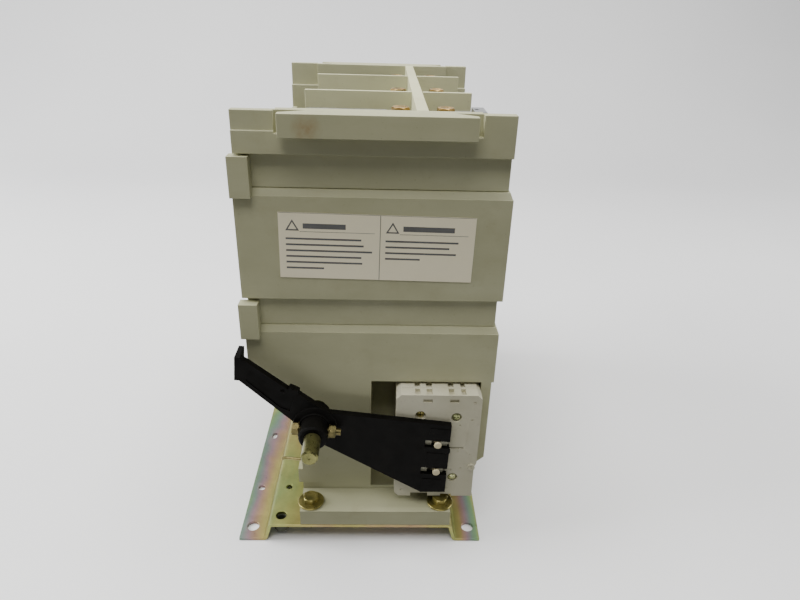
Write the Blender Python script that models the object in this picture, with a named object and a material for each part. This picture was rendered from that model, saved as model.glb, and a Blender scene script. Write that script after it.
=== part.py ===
"""Three-pole vacuum switching device on a bent steel base plate.

The layout is written in millimetres: X runs across the front, Y runs back from the front face of the
rim, and Z runs up from the underside of the base plate. The empty named assembly carries the layout to
the part's own frame, whose origin is the centre of the bounding box's lowest face.
"""

import math

import bmesh
import bpy
from mathutils import Matrix, Vector

MM = 0.001
GAP = 0.3  # air between pieces that touch

# Overall sizes
RIM_LENGTH = 337.0  # front rim face to rear rim face
TOP = 387.0
MIDDLE_Y = RIM_LENGTH / 2
RIM_HALF = 103.0
BODY_HALF = 106.5
FACE = 3.0  # body face behind the rim face
NECK = 8.0  # recessed band behind the rim face
POLE_PITCH = 106.0
POLES = (MIDDLE_Y - POLE_PITCH, MIDDLE_Y, MIDDLE_Y + POLE_PITCH)

# Heights of the housing's tiers
PLATE_TOP = 20.0
FOOT_TOP = 36.5
LEFT_STEP = (127.0, 168.0)
POCKET_TOP = 159.0
LOWER_LEDGE = 207.0
LOWER_JOINT = 212.0
MIDDLE_BOTTOM = 238.0
UPPER_LEDGE = 324.0
UPPER_JOINT = 329.0
RIM_BOTTOM = 356.0
LEDGE = 1.6  # flat lip between a neck's foot and the sloping shoulder below it

# Base plate
PLATE_T = 3.0
PLATE_LEFT = -123.0
PLATE_RIGHT = 102.6
PLATE_OVERHANG = 27.0
WEB_LEFT = (-100.0, -95.0)  # foot and top of the left web's outer face
WEB_RIGHT = (79.7, 75.0)
FLANGE_HOLE_X = (-112.5, 92.5)
FLANGE_HOLE_Y = -12.4

# Feet of the lower housing
FOOT_LEFT = -65.0
FOOT_RIGHT = 73.0
FOOT_BOLT_X = (-56.0, 64.0)
FOOT_BOLT_Y = -14.5

# Walls
WALL_INSIDE = 98.0
CAVITY_FRONT = 12.0
FLOOR_TOP = 25.0
POLE_FLOOR = (222.0, 228.0)

# Auxiliary switch pocket
POCKET_LEFT = -1.0
POCKET_RIGHT = 95.6
POCKET_FLOOR = 40.0
POCKET_BACK = 36.0
POCKET_SKIN = 3.0

# Main shaft
SHAFT_X = -48.6
SHAFT_Z = 130.3
SHAFT_R = 7.0
SHAFT_FRONT = -65.3
SHAFT_BACK = RIM_LENGTH + 5.0
BUSH_R = 11.7
BUSH_INSET = 3.0  # the bushes sit behind a lip in the end walls
SHAFT_HOLE_R = 8.0

# Pole units
UNIT_X = 56.5
TUBE_R = 31.0
TUBE = (244.0, 352.0)
CUP_R = 26.0
CUP_BOTTOM = 236.0
CUP_TOP = 360.0
FIXED_STEM_R = 11.0
BAR_BOTTOM = 367.0
BAR_TOP = 375.0
BAR_HALF_WIDTH = 23.0
PAD_RISE = 0.8  # landing pads stand this much over the bars
UPPER_BAR_X = (42.0, 82.0)
UPPER_PAD_X = (65.5, 79.5)
UPPER_HOLE_X = 72.5
LOWER_TAB_X = (-58.0, 29.0)
LOWER_PAD_X = (-58.0, 9.0)
LOWER_HOLE_X = -46.0
HOLE_HALF_PITCH = 13.0
TAP_X = (81.0, 91.0)  # raised lead tap on the near upper bar
TAP_Y = (66.0, 92.0)
TAP_TOP = 378.0
RISER_X = (-14.0, -8.0)
LOWER_BAR = (190.0, 196.0)
LEFT_BOLT_X = 20.0
TERMINAL_HEAD = 13.0
STEM_R = 7.0
SHANK_R = 5.0
STEM_TOP = 268.0
STEM_SHOULDER = 176.0
STEM_BOTTOM = 140.0
COLLAR = (202.0, 209.0)

# Insulating walls on top
BARRIER_X = (-62.0, 83.0)
BARRIER_FRONT = 109.5
BARRIER_T = 3.6
SPINE_X = (30.7, 39.7)
SPINE_BOTTOM = 361.0
SPINE_LAP = 374.0

# Rocker
HUB_R = 10.5
ARM_HALF_WIDTH = 12.0
ARM_SEAT = (150.0, 159.0)
SPRING_LUG_Z = 166.0
SPRING_LUG_X = 8.0
SPRING_LUG_Y = (MIDDLE_Y - POLE_PITCH / 2, MIDDLE_Y + POLE_PITCH / 2)

# Magnet
ARMATURE_X = (-37.5, -28.0)
YOKE_FACE = -21.5
YOKE_BACK = (40.0, 52.0)
LEG_Y = (MIDDLE_Y - 34.0, MIDDLE_Y + 34.0)
LEG_HALF = 10.0
LEG_Z = (50.0, 100.0)

# External lever, drawn in its own axes about the shaft and set 5 degrees clockwise
LEVER_ANGLE = 5.0
LEVER_FRONT = -22.5
LEVER_BACK = -16.5
LEVER_BOSS_R = 12.0
LEVER_BOSS_FRONT = -41.5
LEVER_HUB_BACK = -4.0
SLOT_HALF = 3.65
SLOT_V = (-10.2, -40.3)
CLAMP_Y = -28.5

# Auxiliary switch stack
MODULE_FRONT = -14.0
MODULE_PITCH = 12.0
MODULE_COUNT = 4
PEG_X = 57.7
PEG_R = 3.2

COLOURS = {
    "housing": ((0.49, 0.50, 0.40, 1), 0.55, 0.0),
    "zinc": ((0.62, 0.57, 0.36, 1), 0.35, 0.9),
    "lever": ((0.015, 0.015, 0.016, 1), 0.5, 0.0),
    "switch": ((0.66, 0.65, 0.58, 1), 0.5, 0.0),
    "peg": ((0.80, 0.77, 0.66, 1), 0.4, 0.0),
    "label": ((0.86, 0.86, 0.83, 1), 0.4, 0.0),
    "ceramic": ((0.85, 0.83, 0.78, 1), 0.3, 0.0),
    "copper": ((0.72, 0.45, 0.30, 1), 0.35, 1.0),
    "silver": ((0.63, 0.64, 0.65, 1), 0.35, 1.0),
    "steel": ((0.45, 0.45, 0.46, 1), 0.4, 1.0),
    "bronze": ((0.55, 0.40, 0.20, 1), 0.4, 1.0),
    "moulding": ((0.20, 0.13, 0.09, 1), 0.5, 0.0),
    "winding": ((0.40, 0.16, 0.08, 1), 0.45, 0.0),
}


# Shapes, as bmesh bodies in layout millimetres


def prism(outline, axis, low, high):
    """A closed body: the outline, drawn in the two other axes in X, Y, Z order, run from low to high."""
    body = bmesh.new()
    place = {
        "X": lambda a, b, c: (c, a, b),
        "Y": lambda a, b, c: (a, c, b),
        "Z": lambda a, b, c: (a, b, c),
    }[axis]
    rings = [[body.verts.new(place(a, b, level)) for a, b in outline] for level in (low, high)]
    body.faces.new(rings[0])
    body.faces.new(rings[1])
    count = len(outline)
    for i in range(count):
        j = (i + 1) % count
        body.faces.new((rings[0][i], rings[0][j], rings[1][j], rings[1][i]))
    bmesh.ops.recalc_face_normals(body, faces=body.faces)
    return body


def box(x, y, z):
    return prism([(x[0], y[0]), (x[1], y[0]), (x[1], y[1]), (x[0], y[1])], "Z", z[0], z[1])


def circle(centre, radius, sides, turn=0.0):
    step = 2 * math.pi / sides
    return [
        (
            centre[0] + radius * math.cos(turn + i * step),
            centre[1] + radius * math.sin(turn + i * step),
        )
        for i in range(sides)
    ]


def rod(centre, radius, axis, low, high, sides=24, turn=0.0):
    return prism(circle(centre, radius, sides, turn), axis, low, high)


def hexagon(centre, across_flats, axis, low, high):
    return rod(centre, across_flats / math.sqrt(3), axis, low, high, 6, math.pi / 6)


def turned(centre, profile, sides=24):
    """A body turned about a vertical axis. The profile runs from the bottom to the top as (radius, z)."""
    body = bmesh.new()
    rings = []
    for radius, z in profile:
        points = circle(centre, radius, sides)
        rings.append([body.verts.new((a, b, z)) for a, b in points])
    for lower, upper in zip(rings, rings[1:]):
        for i in range(sides):
            j = (i + 1) % sides
            body.faces.new((lower[i], lower[j], upper[j], upper[i]))
    body.faces.new(rings[0])
    body.faces.new(rings[-1])
    bmesh.ops.recalc_face_normals(body, faces=body.faces)
    return body


def tier(half, inset, z, inset_top=None):
    """A rectangular block about the middle plane; inset_top gives its upper face a smaller outline."""
    top_half, top_inset = inset_top or (half, inset)
    body = bmesh.new()
    rings = []
    for width, depth, level in ((half, inset, z[0]), (top_half, top_inset, z[1])):
        low_y = depth
        high_y = RIM_LENGTH - depth
        corners = ((-width, low_y), (width, low_y), (width, high_y), (-width, high_y))
        rings.append([body.verts.new((x, y, level)) for x, y in corners])
    body.faces.new(rings[0])
    body.faces.new(rings[1])
    for i in range(4):
        j = (i + 1) % 4
        body.faces.new((rings[0][i], rings[0][j], rings[1][j], rings[1][i]))
    bmesh.ops.recalc_face_normals(body, faces=body.faces)
    return body


def spring_body(centre, radius, z, turns, wire):
    """A coil spring as one round wire along a helix, with flat ends."""
    body = bmesh.new()
    sides = 5
    steps = turns * 9
    low = z[0] + wire
    rise = z[1] - z[0] - 2 * wire
    rings = []
    for i in range(steps + 1):
        share = i / steps
        angle = 2 * math.pi * turns * share
        out = Vector((math.cos(angle), math.sin(angle), 0))
        middle = Vector((centre[0], centre[1], low + rise * share)) + out * radius
        ring = []
        for k in range(sides):
            around = 2 * math.pi * k / sides
            offset = out * (wire * math.cos(around)) + Vector((0, 0, wire * math.sin(around)))
            ring.append(body.verts.new(middle + offset))
        rings.append(ring)
    for lower, upper in zip(rings, rings[1:]):
        for k in range(sides):
            n = (k + 1) % sides
            body.faces.new((lower[k], lower[n], upper[n], upper[k]))
    body.faces.new(rings[0])
    body.faces.new(rings[-1])
    bmesh.ops.recalc_face_normals(body, faces=body.faces)
    return body


def mirrored(pair):
    """A Y range on the rear half that mirrors one on the front half."""
    return (RIM_LENGTH - pair[1], RIM_LENGTH - pair[0])


# Objects


def clear_scene():
    for obj in list(bpy.data.objects):
        bpy.data.objects.remove(obj, do_unlink=True)


def make_materials():
    made = {}
    for name, (colour, roughness, metallic) in COLOURS.items():
        material = bpy.data.materials.new(name)
        material.use_nodes = True
        shader = material.node_tree.nodes["Principled BSDF"]
        shader.inputs["Base Color"].default_value = colour
        shader.inputs["Roughness"].default_value = roughness
        shader.inputs["Metallic"].default_value = metallic
        made[name] = material
    return made


def add_empty(name, at, parent=None):
    empty = bpy.data.objects.new(name, None)
    bpy.context.scene.collection.objects.link(empty)
    empty.parent = parent
    empty.location = Vector(at) * MM
    return empty


def merge(bodies):
    """Several bodies in one bmesh, side by side."""
    whole = bmesh.new()
    for body in bodies:
        mesh = bpy.data.meshes.new("piece")
        body.to_mesh(mesh)
        body.free()
        whole.from_mesh(mesh)
        bpy.data.meshes.remove(mesh)
    return whole


def link_mesh(name, body, at, parent):
    """An object whose mesh is the body in layout millimetres, with its own origin at the point at."""
    body.transform(Matrix.Scale(MM, 4) @ Matrix.Translation(-Vector(at)))
    mesh = bpy.data.meshes.new(name)
    body.to_mesh(mesh)
    body.free()
    obj = bpy.data.objects.new(name, mesh)
    bpy.context.scene.collection.objects.link(obj)
    obj.parent = parent
    home = parent_home(parent)
    obj.location = (Vector(at) - home) * MM
    return obj


def parent_home(parent):
    """Where the parent's origin is, in layout millimetres."""
    return Vector(parent["home"]) if "home" in parent else Vector((0, 0, 0))


def add_part(name, material, body, joined=(), cuts=(), then=(), at=(0, 0, 0), parent=None):
    """A named part: the body with the joined groups welded on and the groups in cuts taken away.

    then lists further (operation, group) steps, for a part whose welds and cuts have to take turns.
    """
    parent = parent or ASSEMBLY
    obj = link_mesh(name, body, at, parent)
    obj.data.materials.append(MATERIALS[material])
    groups = [("UNION", group) for group in joined] + [("DIFFERENCE", group) for group in cuts] + list(then)
    for index, (operation, group) in enumerate(groups):
        helper = link_mesh(f"{name}_helper_{index}", merge(group), at, parent)
        helper.hide_render = True
        helper.display_type = "WIRE"
        modifier = obj.modifiers.new(f"boolean_{index}", "BOOLEAN")
        modifier.operation = operation
        modifier.object = helper
        modifier.use_self = True
    obj.data.shade_smooth()
    obj.data.set_sharp_from_angle(angle=math.radians(35))
    return obj


# Frame


def make_base_plate():
    t = PLATE_T
    profile = [
        (PLATE_LEFT, 0),
        (WEB_LEFT[0] + t, 0),
        (WEB_LEFT[1] + t, PLATE_TOP - t),
        (WEB_RIGHT[1] - t, PLATE_TOP - t),
        (WEB_RIGHT[0] - t, 0),
        (PLATE_RIGHT, 0),
        (PLATE_RIGHT, t),
        (WEB_RIGHT[0], t),
        (WEB_RIGHT[1], PLATE_TOP),
        (WEB_LEFT[1], PLATE_TOP),
        (WEB_LEFT[0], t),
        (PLATE_LEFT, t),
    ]
    back = RIM_LENGTH + PLATE_OVERHANG
    nuts = []
    holes = []
    for y in (FOOT_BOLT_Y, RIM_LENGTH - FOOT_BOLT_Y):
        for x in FOOT_BOLT_X:
            nuts.append(hexagon((x, y), 13, "Z", 11.0, PLATE_TOP - t + 0.5))
            holes.append(rod((x, y), 4.6, "Z", 5, 30, 16))
        for x in FLANGE_HOLE_X:
            mirrored_y = FLANGE_HOLE_Y if y < 0 else RIM_LENGTH - FLANGE_HOLE_Y
            holes.append(rod((x, mirrored_y), 5.6, "Z", -5, 8, 16))
    for y in (39.0, RIM_LENGTH - 39.0):
        holes.append(rod((-113.4, y), 3.4, "Z", -5, 8, 12))
    for y in (-15.5, RIM_LENGTH + 15.5):
        holes.append(rod((-84.5, y), 5.0, "Z", 10, 30, 16))
    for y in (22.2, RIM_LENGTH - 22.2):
        holes.append(rod((-82.0, y), 3.0, "Z", 10, 30, 12))
    for y in (123.0, RIM_LENGTH - 123.0):
        holes.append(box((-116.0, -111.0), (y - 4.5, y + 4.5), (-5, 8)))
    body = prism(profile, "Y", -PLATE_OVERHANG, back)
    add_part("base_plate", "zinc", body, joined=[nuts], cuts=[holes])


def foot_blocks():
    blocks = []
    for y in ((-PLATE_OVERHANG, FACE + 2), (RIM_LENGTH - FACE - 2, RIM_LENGTH + PLATE_OVERHANG)):
        blocks.append(box((FOOT_LEFT, FOOT_RIGHT), y, (PLATE_TOP + GAP, FOOT_TOP)))
    return blocks


def make_lower_housing():
    outer = [
        (FOOT_LEFT, PLATE_TOP + GAP),
        (FOOT_RIGHT, PLATE_TOP + GAP),
        (FOOT_RIGHT, FOOT_TOP),
        (82.0, FOOT_TOP),
        (90.0, 60.0),
        (95.5, 68.0),
        (104.5, 76.0),
        (104.5, POCKET_TOP),
        (BODY_HALF, POCKET_TOP),
        (BODY_HALF, LOWER_LEDGE),
        (-BODY_HALF, LOWER_LEDGE),
        (-BODY_HALF, LEFT_STEP[1]),
        (FOOT_LEFT, LEFT_STEP[0]),
    ]
    inner = [
        (FOOT_LEFT + 5, FLOOR_TOP),
        (FOOT_RIGHT - 5, FLOOR_TOP),
        (75.5, FOOT_TOP + 5),
        (WALL_INSIDE, 84.0),
        (WALL_INSIDE, LOWER_JOINT + 10),
        (-WALL_INSIDE, LOWER_JOINT + 10),
        (-WALL_INSIDE, 174.0),
        (FOOT_LEFT + 5, 132.0),
    ]
    shoulder = tier(BODY_HALF, FACE, (LOWER_LEDGE - 1, LOWER_JOINT), (RIM_HALF + 1.2, NECK - LEDGE))
    pocket_shell = [
        (POCKET_LEFT - POCKET_SKIN, POCKET_FLOOR - POCKET_SKIN),
        (78.0, POCKET_FLOOR - POCKET_SKIN),
        (102.0, 86.0),
        (102.0, POCKET_TOP + POCKET_SKIN),
        (POCKET_LEFT - POCKET_SKIN, POCKET_TOP + POCKET_SKIN),
    ]
    pocket = [
        (POCKET_LEFT, POCKET_FLOOR),
        (78.5, POCKET_FLOOR),
        (POCKET_RIGHT, 80.0),
        (POCKET_RIGHT, POCKET_TOP),
        (POCKET_LEFT, POCKET_TOP),
    ]
    body = prism(outer, "Y", FACE, RIM_LENGTH - FACE)
    cavity = prism(inner, "Y", CAVITY_FRONT, RIM_LENGTH - CAVITY_FRONT)
    pocket_block = prism(pocket_shell, "Y", FACE + 3, POCKET_BACK + POCKET_SKIN)
    pocket_space = prism(pocket, "Y", FACE - 8, POCKET_BACK)
    bores = [
        rod((SHAFT_X, SHAFT_Z), SHAFT_HOLE_R, "Y", -10, RIM_LENGTH + 10),
        rod((SHAFT_X, SHAFT_Z), BUSH_R + GAP, "Y", FACE + BUSH_INSET, RIM_LENGTH - FACE - BUSH_INSET),
    ]
    for y in (FOOT_BOLT_Y, RIM_LENGTH - FOOT_BOLT_Y):
        for x in FOOT_BOLT_X:
            bores.append(rod((x, y), 4.6, "Z", 10, 60, 16))
    lug = box((FOOT_LEFT - 4, FOOT_LEFT + 2), (FACE, FACE + 12), (44, 60))
    steps = (
        ("DIFFERENCE", [cavity]),
        ("UNION", [pocket_block]),
        ("DIFFERENCE", [pocket_space]),
        ("DIFFERENCE", bores),
    )
    add_part("lower_housing", "housing", body, joined=[foot_blocks() + [shoulder, lug]], then=steps)


def make_pole_housing():
    neck_bottom = LOWER_JOINT + GAP
    body = tier(RIM_HALF, NECK, (neck_bottom, MIDDLE_BOTTOM + 1))
    skirt = tier(BODY_HALF, FACE, (MIDDLE_BOTTOM, UPPER_LEDGE))
    shoulder = tier(BODY_HALF, FACE, (UPPER_LEDGE - 1, UPPER_JOINT), (RIM_HALF + 1.2, NECK - LEDGE))
    room = (CAVITY_FRONT, RIM_LENGTH - CAVITY_FRONT)
    inside = (-WALL_INSIDE, WALL_INSIDE)
    above = box(inside, room, (POLE_FLOOR[1], TOP))
    below = box(inside, room, (LOWER_JOINT - 5, POLE_FLOOR[0]))
    seats = [rod((UNIT_X, y), 28.0, "Z", POLE_FLOOR[1] - 1, CUP_BOTTOM - GAP) for y in POLES]
    holes = []
    for y in POLES:
        holes.append(rod((UNIT_X, y), 16.0, "Z", POLE_FLOOR[0] - 5, CUP_BOTTOM + 5))
        slot_x = (RISER_X[0] - 1, RISER_X[1] + 1)
        slot_y = (y - BAR_HALF_WIDTH - 1, y + BAR_HALF_WIDTH + 1)
        holes.append(box(slot_x, slot_y, (POLE_FLOOR[0] - 5, POLE_FLOOR[1] + 5)))
    steps = (("UNION", seats), ("DIFFERENCE", holes))
    add_part("pole_housing", "housing", body, joined=[[skirt], [shoulder]], cuts=[[above, below]], then=steps)


GRIP_X = (-68.0, 74.0)
GRIP_RECESS_X = (-72.0, 79.0)
GRIP_FRONT = -11.0
GRIP_BACK = -4.5
GRIP_BOTTOM = 370.0
GRIP_ROOT_X = (-47.0, 58.0)
END_WALL_CORNER = 9.0
END_WALL_MIDDLE = 14.0
RECESS_DEPTH = 6.0
CORNER_LEDGE = 363.0
CORNER_SETBACK = 1.5
CORNER_STEP = 372.8


def end_wall(flip):
    """One end wall of the terminal frame: (bodies to weld, bodies to cut). flip mirrors it to the rear."""

    def span(low, high):
        return mirrored((low, high)) if flip else (low, high)

    wide = (-RIM_HALF, RIM_HALF)
    welds = [
        box(wide, span(NECK, END_WALL_MIDDLE), (UPPER_JOINT + GAP, RIM_BOTTOM + 1)),
        box(wide, span(0, END_WALL_MIDDLE), (RIM_BOTTOM, CORNER_LEDGE)),
        box(wide, span(0, END_WALL_CORNER), (CORNER_LEDGE - 1, TOP)),
        box(GRIP_RECESS_X, span(2, END_WALL_MIDDLE), (RIM_BOTTOM + 1, TOP)),
    ]
    grip = [
        (GRIP_X[0], GRIP_FRONT),
        (GRIP_X[1], GRIP_FRONT),
        (GRIP_X[1], GRIP_BACK),
        (GRIP_ROOT_X[1], RECESS_DEPTH),
        (GRIP_ROOT_X[1], RECESS_DEPTH + 2),
        (GRIP_ROOT_X[0], RECESS_DEPTH + 2),
        (GRIP_ROOT_X[0], RECESS_DEPTH),
        (GRIP_X[0], GRIP_BACK),
    ]
    if flip:
        grip = [(x, RIM_LENGTH - y) for x, y in grip]
    recess = box(GRIP_RECESS_X, span(-5, RECESS_DEPTH), (GRIP_BOTTOM + 1, TOP + 5))
    setback_x = (-RIM_HALF - 5, GRIP_RECESS_X[0])
    setback = box(setback_x, span(-5, CORNER_SETBACK), (CORNER_STEP, TOP + 5))
    return welds, [recess, setback], prism(grip, "Z", GRIP_BOTTOM, TOP)


def make_terminal_frame():
    rail_z = (UPPER_JOINT + GAP, UPPER_JOINT + 9)
    rails = []
    for x in ((-RIM_HALF, -RIM_HALF + 5.5), (RIM_HALF - 5.5, RIM_HALF)):
        rails.append(box(x, (NECK, RIM_LENGTH - NECK), rail_z))
    front, front_cuts, front_grip = end_wall(False)
    rear, rear_cuts, rear_grip = end_wall(True)
    body = rails.pop()
    add_part(
        "terminal_frame",
        "housing",
        body,
        joined=[rails + front + rear],
        cuts=[front_cuts + rear_cuts],
        then=[("UNION", [front_grip, rear_grip])],
    )


def make_barriers_and_spine():
    spans = {
        "front_barrier": (BARRIER_FRONT, BARRIER_FRONT + BARRIER_T),
        "rear_barrier": mirrored((BARRIER_FRONT, BARRIER_FRONT + BARRIER_T)),
    }
    bottom = POLE_FLOOR[1] + GAP
    notch_x = (SPINE_X[0] - GAP, SPINE_X[1] + GAP)
    laps = []
    for name, y in spans.items():
        body = box(BARRIER_X, y, (bottom, TOP))
        wide_y = (y[0] - 5, y[1] + 5)
        notch = box(notch_x, wide_y, (SPINE_LAP, TOP + 5))
        add_part(name, "housing", body, cuts=[[notch]])
        laps.append(box((SPINE_X[0] - 5, SPINE_X[1] + 5), (y[0] - GAP, y[1] + GAP), (340, SPINE_LAP + GAP)))
    length = (END_WALL_MIDDLE + GAP, RIM_LENGTH - END_WALL_MIDDLE - GAP)
    spine = box(SPINE_X, length, (SPINE_BOTTOM, TOP))
    add_part("spine_wall", "housing", spine, cuts=[laps])


def make_label():
    body = box((-74.0, 79.5), (FACE - GAP - 0.5, FACE - GAP), (256.5, 311.0))
    add_part("label_plate", "label", body)


TIE_FRONT = -3.0


def make_tie_blocks():
    """Two lugs on the left of the front that bridge the grooves between the housing's tiers."""
    blocks = (
        ("upper_tie_block", (323.3, 354.5), -107.2, UPPER_JOINT),
        ("lower_tie_block", (203.0, 234.5), -109.0, LOWER_JOINT),
    )
    for name, z, left, groove in blocks:
        ledge = groove - 5
        back = FACE - GAP
        deep = NECK - GAP
        side = [
            (TIE_FRONT, z[0]),
            (back, z[0]),
            (back, ledge),
            (deep - LEDGE, groove),
            (deep - LEDGE, groove + GAP),
            (deep, groove + GAP),
            (deep, z[1]),
            (TIE_FRONT, z[1]),
        ]
        add_part(name, "housing", prism(side, "X", left, left + 15.5))


def make_foot_bolts():
    names = iter(("front_left", "front_right", "rear_left", "rear_right"))
    washer_low = FOOT_TOP + GAP
    for y in (FOOT_BOLT_Y, RIM_LENGTH - FOOT_BOLT_Y):
        for x in FOOT_BOLT_X:
            body = rod((x, y), 12.0, "Z", washer_low, washer_low + 1.6, 24)
            head = hexagon((x, y), 13, "Z", washer_low + 1.2, washer_low + 6.9)
            shank = rod((x, y), 4.0, "Z", 8.0, washer_low + 1.0, 12)
            add_part(f"foot_bolt_{next(names)}", "zinc", body, joined=[[head], [shank]], at=(x, y, washer_low))


# Pole units


def make_pole_units():
    for number, y in enumerate(POLES, 1):
        make_interrupter(number, y)
        make_moving_stem(number, y)
        make_terminals(number, y)
        make_flexible_link(number, y)
        make_contact_spring(number, y)
        make_terminal_bolts(number, y)


def make_interrupter(number, y):
    profile = [
        (CUP_R, CUP_BOTTOM),
        (CUP_R, TUBE[0]),
        (TUBE_R, TUBE[0]),
        (TUBE_R, TUBE[1]),
        (CUP_R, TUBE[1]),
        (CUP_R, CUP_TOP),
        (FIXED_STEM_R, CUP_TOP),
        (FIXED_STEM_R, BAR_BOTTOM - GAP),
    ]
    bore = rod((UNIT_X, y), STEM_R + 1.5, "Z", CUP_BOTTOM - 5, STEM_TOP + 10, 16)
    thread = rod((UNIT_X, y), 4.4, "Z", 350.0, BAR_BOTTOM + 5, 12)
    body = turned((UNIT_X, y), profile)
    add_part(f"vacuum_interrupter_{number}", "ceramic", body, cuts=[[bore, thread]], at=(UNIT_X, y, CUP_BOTTOM))


def make_moving_stem(number, y):
    profile = [
        (9.0, STEM_BOTTOM),
        (9.0, STEM_BOTTOM + 7),
        (SHANK_R, STEM_BOTTOM + 7),
        (SHANK_R, STEM_SHOULDER),
        (10.0, STEM_SHOULDER),
        (10.0, STEM_SHOULDER + 6),
        (STEM_R, STEM_SHOULDER + 6),
        (STEM_R, COLLAR[0]),
        (12.0, COLLAR[0]),
        (12.0, COLLAR[1]),
        (STEM_R, COLLAR[1]),
        (STEM_R, STEM_TOP),
    ]
    add_part(f"moving_stem_{number}", "copper", turned((UNIT_X, y), profile, 14), at=(UNIT_X, y, STEM_BOTTOM))


def terminal_holes(x, y):
    """The two conductor holes across a bar."""
    return [
        rod((x, y + side * HOLE_HALF_PITCH), 4.6, "Z", BAR_BOTTOM - 5, BAR_TOP + 5, 16) for side in (-1, 1)
    ]


def make_terminals(number, y):
    wide = (y - BAR_HALF_WIDTH, y + BAR_HALF_WIDTH)
    pad_z = (BAR_TOP - 1, BAR_TOP + PAD_RISE)
    upper = box(UPPER_BAR_X, wide, (BAR_BOTTOM, BAR_TOP))
    welds = [box(UPPER_PAD_X, wide, pad_z)]
    holes = [rod((UNIT_X, y), 4.6, "Z", BAR_BOTTOM - 5, BAR_TOP + 5, 16)] + terminal_holes(UPPER_HOLE_X, y)
    if number == 1:
        welds.append(box(TAP_X, TAP_Y, (BAR_BOTTOM, TAP_TOP)))
        holes.append(rod((84.0, 81.5), 2.2, "Z", BAR_BOTTOM - 5, TAP_TOP + 5, 16))
    name = f"upper_terminal_{number}"
    add_part(name, "silver", upper, joined=[welds], cuts=[holes], at=(UNIT_X, y, BAR_BOTTOM))

    outline = [
        (RISER_X[0], LOWER_BAR[0]),
        (40.0, LOWER_BAR[0]),
        (40.0, LOWER_BAR[1]),
        (RISER_X[1], LOWER_BAR[1]),
        (RISER_X[1], BAR_BOTTOM),
        (LOWER_TAB_X[1], BAR_BOTTOM),
        (LOWER_TAB_X[1], BAR_TOP),
        (LOWER_PAD_X[1], BAR_TOP),
        (LOWER_PAD_X[1], BAR_TOP + PAD_RISE),
        (LOWER_PAD_X[0], BAR_TOP + PAD_RISE),
        (LOWER_TAB_X[0], BAR_BOTTOM),
        (RISER_X[0], BAR_BOTTOM),
    ]
    nut = hexagon((LEFT_BOLT_X, y), 13, "Z", BAR_BOTTOM - 7, BAR_BOTTOM + 1)
    holes = [rod((LEFT_BOLT_X, y), 4.6, "Z", BAR_BOTTOM - 15, BAR_TOP + 5, 16)]
    holes += terminal_holes(LOWER_HOLE_X, y)
    body = prism(outline, "Y", *wide)
    name = f"lower_terminal_{number}"
    add_part(name, "silver", body, joined=[[nut]], cuts=[holes], at=(LEFT_BOLT_X, y, BAR_TOP))


def make_flexible_link(number, y):
    """A laminated strap from the lower terminal's foot up to the moving stem's collar."""
    low = LOWER_BAR[1] + GAP
    top = COLLAR[0] - GAP
    outline = [
        (24.0, low),
        (40.0, low),
        (UNIT_X - 14, top - 3.0),
        (UNIT_X + 11, top - 3.0),
        (UNIT_X + 11, top),
        (UNIT_X - 16, top),
        (37.0, low + 3.0),
        (24.0, low + 3.0),
    ]
    body = prism(outline, "Y", y - 11, y + 11)
    hole = rod((UNIT_X, y), STEM_R + 0.6, "Z", low - 5, top + 5, 20)
    add_part(f"flexible_link_{number}", "copper", body, cuts=[[hole]], at=(24.0, y, low))


def make_contact_spring(number, y):
    z = (ARM_SEAT[1] + 1.0, STEM_SHOULDER - GAP)
    body = spring_body((UNIT_X, y), 8.0, z, 3, 1.2)
    add_part(f"contact_spring_{number}", "steel", body, at=(UNIT_X, y, z[1]))


def make_terminal_bolts(number, y):
    for label, x, depth in (("left", LEFT_BOLT_X, 361.0), ("right", UNIT_X, 355.0)):
        low = BAR_TOP + GAP
        body = rod((x, y), 8.2, "Z", low, low + 1.6, 20)
        head = hexagon((x, y), TERMINAL_HEAD, "Z", low + 1.2, low + 6.6)
        shank = rod((x, y), 4.0, "Z", depth, low + 0.8, 12)
        add_part(f"terminal_bolt_{label}_{number}", "zinc", body, joined=[[head], [shank]], at=(x, y, low))


# Drive


def make_shaft():
    body = rod((SHAFT_X, SHAFT_Z), SHAFT_R, "Y", SHAFT_FRONT, SHAFT_BACK, 32)
    cross = rod_between(lever_point(-25, 0, CLAMP_Y), lever_point(25, 0, CLAMP_Y), 3.4)
    pin_start, pin_end = lock_pin_ends()
    pin_hole = rod_between(pin_start, pin_end, 1.2 + GAP)
    add_part("main_shaft", "zinc", body, cuts=[[cross, pin_hole]], at=AXIS_POINT, parent=SHAFT_AXIS)


def lever_point(u, v, y):
    """A point of the lever, given along and across it from the shaft axis, in the layout."""
    angle = math.radians(LEVER_ANGLE)
    x = SHAFT_X + u * math.cos(angle) + v * math.sin(angle)
    z = SHAFT_Z - u * math.sin(angle) + v * math.cos(angle)
    return Vector((x, y, z))


def lever_prism(outline, low, high):
    points = [lever_point(u, v, 0) for u, v in outline]
    return prism([(p.x, p.z) for p in points], "Y", low, high)


def rod_between(start, end, radius, sides=12):
    """A round rod from one point to another."""
    span = end - start
    body = rod((0, 0), radius, "Z", 0, span.length, sides)
    turn = span.to_track_quat("Z", "Y").to_matrix().to_4x4()
    body.transform(Matrix.Translation(start) @ turn)
    return body


def hexagon_between(start, end, across_flats):
    return rod_between(start, end, across_flats / math.sqrt(3), 6)


def lock_pin_ends():
    """The ends of the wire pin, which sits in a slanting blind hole near the shaft's front end."""
    return (
        Vector((SHAFT_X - 2.0, SHAFT_FRONT + 4.0, SHAFT_Z - 4.0)),
        Vector((SHAFT_X - 21.5, SHAFT_FRONT + 4.0, SHAFT_Z - 1.6)),
    )


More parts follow.
